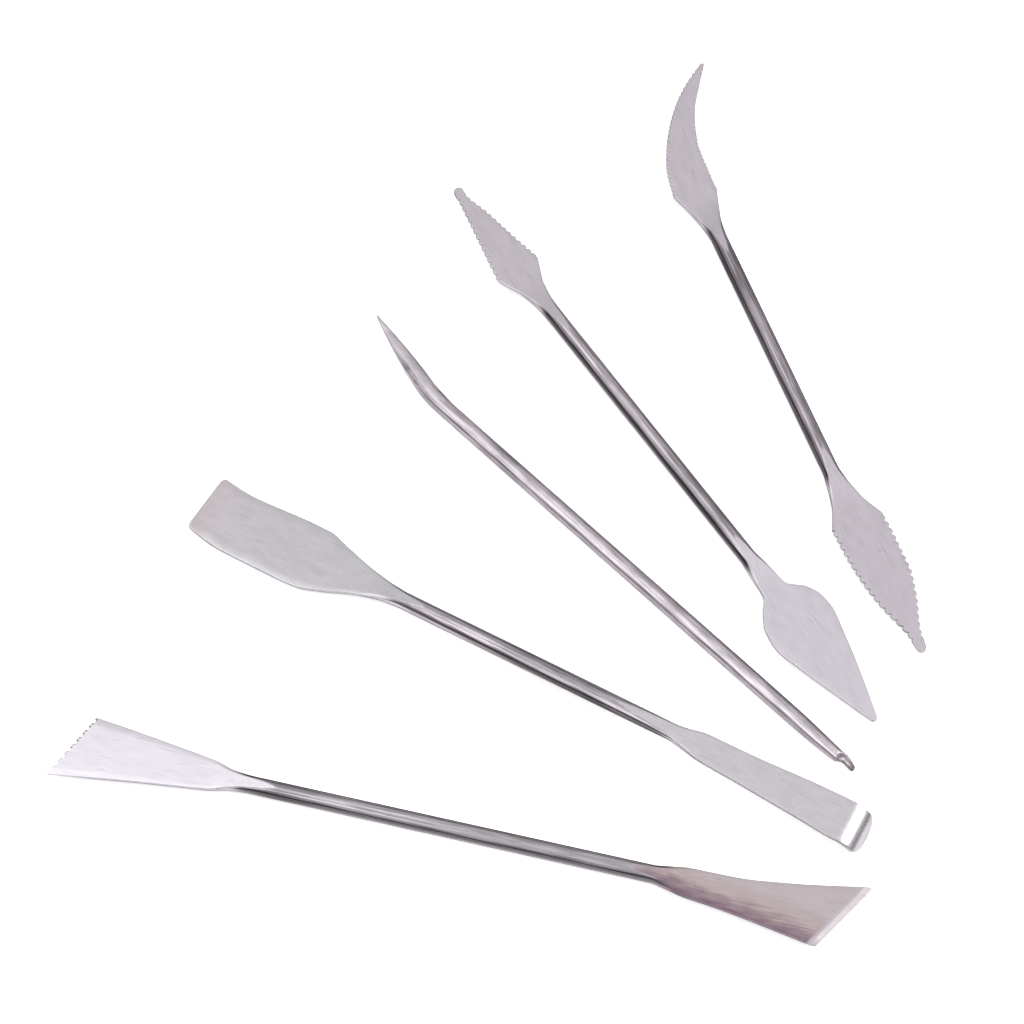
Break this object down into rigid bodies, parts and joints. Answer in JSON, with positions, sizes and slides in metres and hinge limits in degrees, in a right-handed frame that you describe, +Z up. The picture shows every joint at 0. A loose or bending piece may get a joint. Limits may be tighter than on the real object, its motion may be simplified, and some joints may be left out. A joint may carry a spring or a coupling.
{
  "type": "clay modeling tool set",
  "caption": "Double-ended stainless steel clay modelling tools laid out as a fan: notched fan, paddle, hooked scraper, point, trowel and saw-edged blades on round shafts.",
  "frame": {"origin": "on the surface that the tools lie on, under the middle of the box around them", "axes": "+Z up from the surface; +Y along the longer side of the box, away from the viewer; +X to the right, with the tools' shafts fanned out from the near right"},
  "size_m": [0.1942, 0.2318, 0.0051],
  "materials": {
    "polished_steel": "bright polished stainless steel, faint heat tint on the flared blade",
    "brushed_steel": "finely brushed along the blade",
    "drawn_steel": "drawn rod, lightly polished",
    "ground_steel": "ground and polished blades with filed saw edges"
  },
  "bodies": {
    "root": {"fan_and_flare_tool": "polished_steel", "paddle_and_hook_tool": "brushed_steel", "point_and_scoop_tool": "drawn_steel", "diamond_and_trowel_tool": "ground_steel", "sickle_and_leaf_tool": "ground_steel"}
  },
  "joints": []
}
